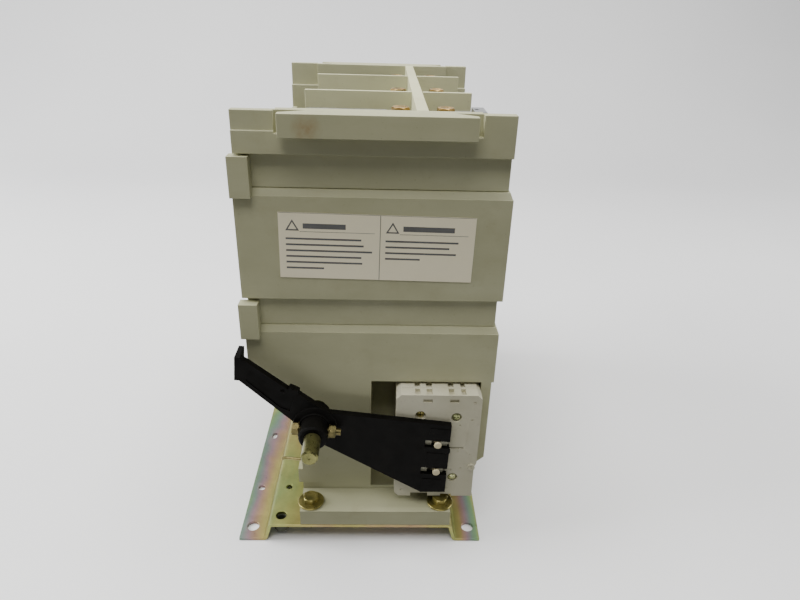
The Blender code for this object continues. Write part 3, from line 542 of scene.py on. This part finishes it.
def dress(names, material, bevel=0.0, segments=2):
    """Carried-over CAD nodes: their own material, welded flats and rounded edges."""
    for name in names:
        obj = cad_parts[name]
        for i in range(len(obj.data.materials)):
            obj.material_slots[i].material = material
        weld = obj.modifiers.new("weld", "WELD")
        weld.merge_threshold = 1e-5
        flats = obj.modifiers.new("flats", "DECIMATE")
        flats.decimate_type = "DISSOLVE"
        flats.angle_limit = math.radians(1.0)
        if bevel:
            edge = obj.modifiers.new("bevel", "BEVEL")
            edge.width = bevel * MM
            edge.segments = segments
            edge.limit_method = "ANGLE"
            edge.angle_limit = math.radians(25.0)
        weighted = obj.modifiers.new("weighted", "WEIGHTED_NORMAL")
        weighted.weight = 80


# The base plate


def make_plate():
    middle = [(-123.0, 1.5), (-98.5, 1.5), (-93.5, 18.5), (73.5, 18.5), (78.2, 1.5), (102.6, 1.5)]
    outline = ribbon(rounded([Vector(p) for p in middle], 3.2, 6), 3.0)
    body = prism(outline, "Y", PLATE_FRONT, LENGTH - PLATE_FRONT)
    cuts = []
    for y in (-12.4, LENGTH + 12.4):
        for x in (-112.5, 92.5):
            cuts.append(rod((x, y), 5.6, "Z", -5, 9))
    for y in (39.0, LENGTH - 39.0):
        cuts.append(rod((-113.4, y), 3.4, "Z", -5, 9, 24))
    for y in PRESS_NUT_Y:
        cuts.append(rod((PRESS_NUT_X, y), 5.0, "Z", 8, 30))
    for y in (22.2, LENGTH - 22.2):
        cuts.append(rod((-82.0, y), 3.0, "Z", 8, 30, 24))
    for y in (123.0, LENGTH - 123.0):
        ends = circle((-113.5, y + 2.2), 2.5, 8, 0.0, math.pi * 8 / 7)
        other = circle((-113.5, y - 2.2), 2.5, 8, math.pi, math.pi * 8 / 7)
        cuts.append(prism(ends + other, "Z", -5, 9))
    for y in FOOT_BOLT_Y:
        for x in FOOT_BOLT_X:
            cuts.append(rod((x, y), 4.6, "Z", 5, 30, 24))
    add_piece(
        "base_plate_skin",
        body,
        CHROMATE,
        "frame",
        ["base_plate"],
        cuts=cuts,
        bevel=0.35,
    )
    for y in FOOT_BOLT_Y:
        for x in FOOT_BOLT_X:
            head, keeper = hex_head(13, 0.0, 5.7, 0.5)
            keeper.free()
            add_piece(
                f"weld_nut_{'f' if y < 0 else 'r'}{'l' if x < 0 else 'r'}",
                head,
                GOLD,
                "frame",
                place=Matrix.Translation((x, y, 16.9)) @ Matrix.Rotation(math.pi, 4, "X"),
                cuts=[rod((0, 0), 4.3, "Z", -2, 8, 24)],
                bevel=0.25,
            )


def make_press_nuts():
    """Closed press nuts under the large holes in the plate's raised part."""
    for end, y in zip(("front", "rear"), PRESS_NUT_Y):
        cup = rod((PRESS_NUT_X, y), 7.0, "Z", 6.5, 16.6, 32)
        hollow = rod((PRESS_NUT_X, y), 4.3, "Z", 8.0, 20.0, 24)
        add_piece(f"press_nut_{end}", cup, HOLLOW, "frame", cuts=[hollow], bevel=0.3)


# Fasteners


def make_bolt(node, at, height, washer_radius, length, material, turn):
    """An M8 hexagon bolt with its captive washer, standing on the point at."""
    flats = 13.0
    washer = 1.6
    shank = 4.0
    top = washer + height
    head, keeper = hex_head(flats, washer, top, 0.9)
    place = Matrix.Translation(at) @ Matrix.Rotation(turn, 4, "Z")
    obj = make_object(f"{node}_detail", head, material, place)
    combine(obj, "INTERSECT", [keeper], place)
    half = flats / 2
    collar = lathe([(half + 0.4, washer - 0.3), (half - 0.2, washer + 0.6), (half - 0.6, washer + 0.7)])
    disc = lathe(
        [
            (washer_radius - 0.4, 0.0),
            (washer_radius, 0.35),
            (washer_radius, washer - 0.5),
            (washer_radius - 0.5, washer - 0.05),
            (half + 1.6, washer),
            (half + 1.2, washer + 0.02),
        ],
        48,
    )
    stem = rod((0, 0), shank, "Z", -length, 0.5, 20)
    dimple = lathe([(0.2, top - 0.5), (half - 2.2, top - 0.35), (half - 1.7, top + 0.6)])
    combine(obj, "UNION", [collar, disc, stem], place)
    combine(obj, "DIFFERENCE", [dimple], place)
    finish_detail(obj, "frame", node, width=0.22)


def make_bolts():
    turns = iter((0.25, 0.6, 0.1, 0.8))
    for end, y in zip(("front", "rear"), FOOT_BOLT_Y):
        for side, x in zip(("left", "right"), FOOT_BOLT_X):
            make_bolt(f"foot_bolt_{end}_{side}", (x, y, 36.8), 5.3, 12.0, 28.0, GOLD, next(turns))
    spin = random.Random(7)
    for number, y in enumerate(POLES, 1):
        for side, x, depth in (("left", 20.0, 14.0), ("right", 56.5, 20.0)):
            node = f"terminal_bolt_{side}_{number}"
            make_bolt(node, (x, y, 375.3), 5.0, 8.2, depth, BRONZE, spin.uniform(0, 1))


SHAFT = Vector((-48.6, 0.0, 130.3))
LEVER_TURN = math.radians(5.0)
SLOT_V = (-10.2, -40.3)


def lever_point(u, v, y):
    """A point of the lever, given along and across it from the shaft axis."""
    x = SHAFT.x + u * math.cos(LEVER_TURN) + v * math.sin(LEVER_TURN)
    z = SHAFT.z - u * math.sin(LEVER_TURN) + v * math.cos(LEVER_TURN)
    return Vector((x, y, z))


def make_shaft():
    along = aimed((SHAFT.x, -65.3, SHAFT.z), (SHAFT.x, 0.0, SHAFT.z))
    profile = [
        (0.6, 0.5),
        (1.1, 0.0),
        (5.7, 0.0),
        (7.0, 1.3),
        (7.0, 30.0),
        (7.0, 405.8),
        (5.9, 407.3),
    ]
    body = lathe(profile, 48)
    add_piece("shaft_detail", body, SHAFT_GOLD, "shaft_assembly", ["main_shaft"], along)
    start = Vector((SHAFT.x - 6.0, -61.3, SHAFT.z - 3.6))
    end = Vector((SHAFT.x - 21.0, -61.3, SHAFT.z - 1.9))
    bend = end + Vector((-0.7, 0.2, -1.6))
    wire = bpy.data.curves.new("lock_pin_wire", "CURVE")
    wire.dimensions = "3D"
    wire.bevel_depth = 1.2 * MM
    wire.bevel_resolution = 4
    wire.use_fill_caps = True
    spline = wire.splines.new("POLY")
    points = [start, start.lerp(end, 0.5), start.lerp(end, 0.92), end, end.lerp(bend, 0.6), bend]
    spline.points.add(len(points) - 1)
    for target, point in zip(spline.points, points):
        target.co = (*(TO_ROW @ point), 1)
    wire.materials.append(PIN_GOLD)
    pin = bpy.data.objects.new("lock_pin_detail", wire)
    bpy.context.scene.collection.objects.link(pin)
    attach(pin, "shaft_assembly")
    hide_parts("lock_pin")


def make_clamp():
    """The M6 bolt across the lever's hub, with its nut and the thread's end."""
    y = -28.5
    left = aimed(lever_point(-12.3, 0, y), lever_point(-30, 0, y))
    head, keeper = hex_head(10, 1.2, 6.2, 0.7)
    obj = make_object("clamp_bolt_detail", head, CLAMP_GOLD, left)
    combine(obj, "INTERSECT", [keeper], left)
    washer = lathe([(5.6, 0.0), (6.0, 0.3), (6.0, 1.0), (5.7, 1.3)], 32)
    shank = rod((0, 0), 3.0, "Z", -35.0, 2.0, 24)
    combine(obj, "UNION", [washer, shank], left)
    finish_detail(obj, "shaft_assembly", "clamp_bolt")
    right = aimed(lever_point(12.3, 0, y), lever_point(30, 0, y))
    nut, keeper = hex_head(10, 1.2, 6.2, 0.7)
    obj = make_object("clamp_nut_detail", nut, CLAMP_GOLD, right)
    combine(obj, "INTERSECT", [keeper], right)
    washer = lathe([(5.6, 0.0), (6.0, 0.3), (6.0, 1.0), (5.7, 1.3)], 32)
    combine(obj, "UNION", [washer], right)
    combine(obj, "DIFFERENCE", [rod((0, 0), 3.15, "Z", -2, 9, 24)], right)
    finish_detail(obj, "shaft_assembly", "clamp_nut")


def finish_detail(obj, rides, node, width=0.2):
    tidy_flats(obj)
    soften(obj, width, 2, 32.0)
    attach(obj, rides)
    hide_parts(node)


# The lever


def lever_prism(outline, low, high):
    points = [lever_point(u, v, 0) for u, v in outline]
    return prism([(p.x, p.z) for p in points], "Y", low, high)


LEVER = [
    (-64.0, 61.0),
    (-58.5, 58.0),
    (-24.0, 34.5),
    (-22.5, 37.0),
    (-14.5, 33.5),
    (-14.5, 30.5),
    (10.0, 14.1),
    (93.6, 11.6),
    (117.0, 10.6),
    (121.5, -63.4),
    (99.7, -65.6),
    (9.0, -20.0),
    (-19.1, 2.9),
    (-64.0, 39.5),
]


def make_lever():
    body = lever_prism(LEVER, -22.5, -16.5)
    flag = [(-68.0, 39.5), (-63.5, 39.5), (-63.5, 61.5), (-68.0, 61.5)]
    hub_at = aimed((SHAFT.x, -41.5, SHAFT.z), (SHAFT.x, 0.0, SHAFT.z))
    hub = lathe([(10.4, 0.0), (11.6, 1.2), (12.0, 2.0), (12.0, 37.5)], 48)
    hub.transform(hub_at)
    root = lathe([(12.6, 16.5), (13.6, 17.6), (18.2, 18.2), (18.8, 18.8), (18.8, 22.0)], 48)
    root.transform(hub_at)
    pocket = [(-55.0, 50.0), (-25.5, 29.6), (-19.0, 24.0), (-21.5, 13.0), (-30.0, 16.0), (-58.5, 40.0)]
    cuts = [lever_prism(pocket, -24.0, -21.7)]
    for v in SLOT_V:
        slot = [(96.5, v - 3.65), (130, v - 3.65), (130, v + 3.65), (96.5, v + 3.65)]
        cuts.append(lever_prism(slot, -27, -11))
    bore = rod((SHAFT.x, SHAFT.z), 7.15, "Y", -60, 10, 48)
    cross = lathe([(3.3, -30), (3.3, 30)], 24)
    cross.transform(aimed(lever_point(0, 0, -28.5), lever_point(30, 0, -28.5)))
    joins = [lever_prism(flag, -22.5, -3.8), hub, root]
    for u, v, length, width in ((-20.5, 35.2, 5.0, 4.0), (-30.0, 33.0, 3.0, 3.0)):
        stud = [(u, v - width), (u + length, v - width), (u + length, v), (u, v)]
        joins.append(lever_prism(stud, -24.0, -18.0))
    for v in (4.0, -22.5, -52.0):
        tip = [(99.0, v - 4.2), (116.8, v - 4.2), (116.8, v + 2.6), (99.0, v + 2.6)]
        joins.append(lever_prism(tip, -22.9, -18.0))
    joins.append(lever_prism([(117.0, -19.7), (119.6, -19.1), (119.6, -15.9), (117.0, -15.3)], -22.0, -17.0))
    obj = make_object("lever_detail", body, BLACK)
    combine(obj, "UNION", joins)
    combine(obj, "DIFFERENCE", cuts + [bore, cross])
    finish_detail(obj, "shaft_assembly", "aux_lever", 0.45)
    for number, v in enumerate(SLOT_V, 1):
        for side, (near, far) in (("inner", (96.8, 102.4)), ("outer", (110.2, 116.6))):
            outline = [(near, v - 3.4), (far, v - 3.4), (far, v + 3.4), (near, v + 3.4)]
            leaf = lever_prism(outline, -19.2, -18.6)
            name = f"slot_leaf_{side}_{number}"
            add_piece(name, leaf, LEAF, "shaft_assembly", bevel=0.1)


# The auxiliary switches


SCREWS = ((73.6, 133.5), (73.9, 66.3), (42.1, 135.2))
PEG_X = 57.7
MODULE_PITCH = 12.0
TOP_SLOTS = ((37.0, 41.5), (47.0, 52.0), (66.0, 71.0), (77.0, 81.0))
MODULE_TOP = [(95, 152.5), (91, 156.5), (25, 156.5), (21, 152.5)]
MODULE = [(21, 48), (25, 44), (93, 44), (93, 78), (95, 83)] + MODULE_TOP
REAR_MODULE = [(21, 44), (78.5, 44), (93, 78), (95, 86)] + MODULE_TOP
DOTS = (
    (88.8, 149.5, 1.1),
    (87.5, 131.0, 1.1),
    (77.2, 125.2, 0.8),
    (77.2, 96.2, 1.0),
    (88.0, 92.7, 0.9),
    (80.5, 77.4, 0.9),
    (71.7, 75.4, 0.9),
    (69.0, 53.6, 1.0),
    (27.0, 51.6, 1.1),
)


def peg_heights():
    """Where the lever's slots cross the upright line of the pegs."""
    reach = PEG_X - SHAFT.x
    heights = []
    for v in SLOT_V:
        u = (reach - v * math.sin(LEVER_TURN)) / math.cos(LEVER_TURN)
        heights.append(SHAFT.z - u * math.sin(LEVER_TURN) + v * math.cos(LEVER_TURN))
    return heights


def front_features(front):
    """What shows on the front module's face: (bodies to cut, bodies to weld)."""
    cuts = []
    for x, z in SCREWS:
        cuts.append(rod((x, z), 4.7, "Y", front - 5, front + 3.0, 32))
    for x in (48.0, 71.0):
        cuts.append(box((x - 3.9, x + 3.9), (front - 1, front + 2.4), (149.0, 152.4)))
    for x, z, radius in DOTS:
        cuts.append(rod((x, z), radius, "Y", front - 1, front + 0.8, 14))
    cuts.append(box((66.0, 82.0), (front - 1, front + 1.6), (99.3, 100.9)))
    cuts.append(box((36.0, 52.0), (front - 1, front + 4.0), (40.0, 47.6)))
    cuts.append(box((64.0, 74.0), (front - 1, front + 4.0), (40.0, 46.4)))
    ridge = rounded([Vector(p) for p in ((84.6, 127.0), (84.8, 107.0), (80.5, 101.0))], 3.0, 4)
    arc = rounded([Vector(p) for p in ((78.5, 100.0), (84.0, 97.5), (88.0, 92.0), (90.0, 85.5))], 6.0, 4)
    joins = [prism(ribbon(path, 0.9), "Y", front - 0.35, front + 1.0) for path in (ridge, arc)]
    joins.append(rod((90.2, 78.4), 3.5, "Y", front - 1.1, front + 1.0, 28))
    return cuts, joins


def make_switch(number):
    front = -14.0 + number * MODULE_PITCH
    back = front + MODULE_PITCH - 0.3
    body = prism(REAR_MODULE if number else MODULE, "Y", front, back)
    upper, lower = peg_heights()
    channel_z = (lower - 8.0, upper + 17.0)
    face = front - 5 if number else front + 1.7
    cuts = [box((PEG_X - 6.0, PEG_X + 6.0), (face, back + 5), channel_z)]
    for x, z in SCREWS:
        cuts.append(rod((x, z), 2.3, "Y", front - 5, back + 5, 20))
    for low, high in TOP_SLOTS:
        cuts.append(box((low, high), (front + 1.5, back - 1.8), (153.4, 160.0)))
    joins = []
    if number == 0:
        cuts.append(box((PEG_X - 3.6, PEG_X + 3.6), (front - 5, front + 3), (lower - 5.0, upper + 14.0)))
        more, joins = front_features(front)
        cuts += more
    obj = make_object(f"switch_module_{number + 1}", body, SWITCH)
    combine(obj, "DIFFERENCE", cuts)
    if joins:
        combine(obj, "UNION", joins)
        combine(obj, "DIFFERENCE", [rod((89.5, 79.2), 1.9, "Y", front - 3, front - 0.2, 20)])
    finish_detail(obj, "frame", f"aux_switch_{number + 1}", 0.3)


def make_switches():
    for number in range(4):
        make_switch(number)
    upper, lower = peg_heights()
    block = box((PEG_X - 5.4, PEG_X + 5.4), (-12.0, 33.0), (lower - 5, upper + 5))
    slide = make_object("slide_detail", block, PEG)
    spool = [(3.2, 0.0), (3.2, 9.6), (2.5, 10.4), (2.5, 12.4), (3.3, 13.0), (3.3, 14.2), (2.7, 14.6)]
    pegs = []
    for z in (upper, lower):
        stud = lathe(spool, 28)
        stud.transform(aimed((PEG_X, -10.0, z), (PEG_X, -30.0, z)))
        pegs.append(stud)
    combine(slide, "UNION", pegs)
    finish_detail(slide, "aux_slide_body", "aux_slide", 0.3)
    for number, (x, z) in enumerate(SCREWS, 1):
        sunk = 1.6 if number == 3 else 0.0
        place = aimed((x, -11.4 + sunk, z), (x, -20.0, z))
        profile = [(2.0, -42.0), (2.0, 0.0), (3.9, 0.1), (3.9, 0.7), (3.5, 1.4), (2.4, 2.0), (1.2, 2.3)]
        material = GOLD if number == 3 else SCREW
        head = make_object(f"switch_screw_{number}", lathe(profile, 32), material, place)
        cross = [box((-0.5, 0.5), (-2.2, 2.2), (1.2, 4.0)), box((-2.2, 2.2), (-0.5, 0.5), (1.2, 4.0))]
        combine(head, "DIFFERENCE", cross, place)
        finish_detail(head, "frame", f"aux_screw_{number}", 0.12)


# The sticker


def make_sticker():
    """A white two-panel film with plain grey bars and empty triangles where its text would be."""
    centre = Vector((2.8, 2.35, 283.6))
    turn = Matrix.Translation(centre) @ Matrix.Rotation(math.radians(0.9), 4, "Y")
    half = (76.3, 27.2)
    film = box((-half[0], half[0]), (0.0, 0.3), (-half[1], half[1]))
    add_piece("sticker_film", film, PAPER, "frame", ["label_plate"], turn, bevel=0.08)
    bars = []

    def bar(x0, x1, z0, z1):
        bars.append(box((x0, x1), (-0.06, 0.12), (z0, z1)))

    edge = 0.5
    bar(-half[0] + 0.5, half[0] - 0.5, half[1] - 0.5, half[1] - 0.2)
    bar(2.0, 2.0 + edge, -half[1] + 0.3, half[1] - 0.5)
    widths = random.Random(11)
    for left, right, lines, title in ((-72.0, -2.0, 6, 33.0), (5.5, 71.0, 4, 40.0)):
        bar(left + 14.5, left + 14.5 + title, 14.4, 18.6)
        bar(left + 12.0, right, 11.8, 12.1)
        z = 6.8
        for line in range(lines):
            length = (right - left) * (widths.uniform(0.72, 0.98) if line < lines - 1 else 0.42)
            bar(left + 1.0, left + 1.0 + length, z - 1.5, z)
            z -= 4.9
    ink = make_object("sticker_bars", merge(bars), INK, turn)
    for left in (-72.0, 5.5):
        outer = [(left + 1.0, 12.6), (left + 11.6, 12.6), (left + 6.3, 21.6)]
        inner = [(left + 2.9, 13.7), (left + 9.7, 13.7), (left + 6.3, 19.5)]
        triangle = make_object("sign", prism(outer, "Y", -0.06, 0.12), INK, turn)
        combine(triangle, "DIFFERENCE", [prism(inner, "Y", -1, 1)], turn)
        triangle.name = f"sticker_triangle_{'left' if left < 0 else 'right'}"
        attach(triangle, "frame")
    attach(ink, "frame")


# Studio


def make_stage():
    """A pale floor that sweeps up into a backdrop; sizes in metres."""
    bend_y = 1.1
    bend = 0.9
    steps = 12
    profile = [(-3.0, 0.0), (bend_y, 0.0)]
    for i in range(1, steps + 1):
        angle = math.pi / 2 * i / steps
        profile.append((bend_y + bend * math.sin(angle), bend - bend * math.cos(angle)))
    profile.append((bend_y + bend, 4.0))
    body = bmesh.new()
    rows = []
    for y, z in profile:
        rows.append([body.verts.new((x, y, z)) for x in (-4.0, 4.0)])
    for near, far in zip(rows, rows[1:]):
        body.faces.new((near[0], near[1], far[1], far[0]))
    mesh = bpy.data.meshes.new("floor")
    body.to_mesh(mesh)
    body.free()
    floor = bpy.data.objects.new("floor", mesh)
    mesh.shade_smooth()
    paper = Maker("backdrop", srgb(243, 243, 243), 0.85)
    stops = [(0.3, srgb(239, 239, 240)), (0.7, srgb(246, 246, 246))]
    paper.colour(paper.ramp(paper.noise(1.4, 3.0), stops))
    mesh.materials.append(paper.material)
    bpy.context.scene.collection.objects.link(floor)
    # The floor throws no light back, so that the hollows under the tiers stay dark.
    floor.visible_diffuse = False


WARM = (1.0, 0.99, 0.97)
COOL = (0.98, 0.99, 1.0)


def add_light(name, at, target, size, power, colour=(1, 1, 1)):
    light = bpy.data.lights.new(name, "AREA")
    light.shape = "RECTANGLE"
    light.size, light.size_y = size
    light.energy = power
    light.color = colour
    obj = bpy.data.objects.new(name, light)
    obj.location = at
    obj.rotation_euler = (Vector(target) - Vector(at)).to_track_quat("-Z", "Y").to_euler()
    bpy.context.scene.collection.objects.link(obj)


def make_studio():
    make_stage()
    add_light("key", (-0.15, -0.72, 1.42), (0.0, -0.1, 0.2), (0.7, 0.5), 9.0, WARM)
    add_light("low_fill", (0.0, -0.62, 0.06), (0.0, -0.2, 0.03), (0.6, 0.08), 0.36, COOL)
    add_light("overhead", (0.0, 0.25, 1.9), (0.0, 0.15, 0.0), (1.6, 1.2), 30.0, WARM)
    add_light("left_window", (-1.9, 0.1, 1.3), (-0.7, 0.3, 0.0), (1.2, 1.2), 62.0, COOL)
    add_light("right_window", (1.9, 0.1, 1.2), (0.3, 0.15, 0.1), (1.2, 1.2), 22.0, COOL)
    add_light("backdrop_light", (0.0, 1.0, 2.4), (0.0, 1.6, 0.2), (2.4, 1.0), 22.0)
    world = bpy.data.worlds.new("studio")
    world.use_nodes = True
    background = world.node_tree.nodes["Background"]
    background.inputs["Color"].default_value = (*WARM, 1)
    background.inputs["Strength"].default_value = 0.12
    bpy.context.scene.world = world


def make_camera():
    """The solved viewpoint: over the front end, a little to the right, looking down 26 degrees."""
    pitch, yaw, roll = (math.radians(a) for a in (26.23, 1.86, 1.64))
    ahead = Vector((math.sin(yaw), math.cos(yaw), 0))
    level = Vector((math.cos(yaw), -math.sin(yaw), 0))
    upright = Vector((0, 0, 1))
    forward = ahead * math.cos(pitch) - upright * math.sin(pitch)
    raised = ahead * math.sin(pitch) + upright * math.cos(pitch)
    right = level * math.cos(roll) + raised * math.sin(roll)
    up = raised * math.cos(roll) - level * math.sin(roll)
    turn = Matrix((right, up, -forward)).transposed()
    camera = bpy.data.cameras.new("camera")
    camera.lens = 28.01
    camera.sensor_width = 36.0
    camera.clip_start = 0.02
    obj = bpy.data.objects.new("camera", camera)
    obj.matrix_world = Matrix.Translation(TO_ROW @ Vector((7.2, -453.2, 463.3))) @ turn.to_4x4()
    bpy.context.scene.collection.objects.link(obj)
    bpy.context.scene.camera = obj


make_plate()
make_press_nuts()
make_bolts()
make_shaft()
make_clamp()
make_lever()
make_switches()
make_sticker()

dress(["lower_housing", "pole_housing"], HOUSING, 0.9)
dress(["terminal_frame"], HOUSING_STAINED, 0.8)
dress(["front_barrier", "rear_barrier", "spine_wall"], HOUSING_LIGHTER, 0.45)
dress(["upper_tie_block", "lower_tie_block"], HOUSING, 1.6, 3)
poles = (1, 2, 3)
dress([f"upper_terminal_{n}" for n in poles] + [f"lower_terminal_{n}" for n in poles], TIN, 0.6)
dress([f"vacuum_interrupter_{n}" for n in poles], CERAMIC, 0.8)
dress([f"moving_stem_{n}" for n in poles] + [f"flexible_link_{n}" for n in poles], COPPER, 0.3)
dress([f"contact_spring_{n}" for n in poles] + ["opening_spring_1", "opening_spring_2"], STEEL)
dress(["magnet_yoke", "armature"], CORE, 0.5)
dress(["front_bush", "rear_bush"], SINTER, 0.3)
dress(["rocker"], BROWN, 0.8)
dress(["coil_1", "coil_2"], TAPE, 2.0, 3)

make_studio()
make_camera()
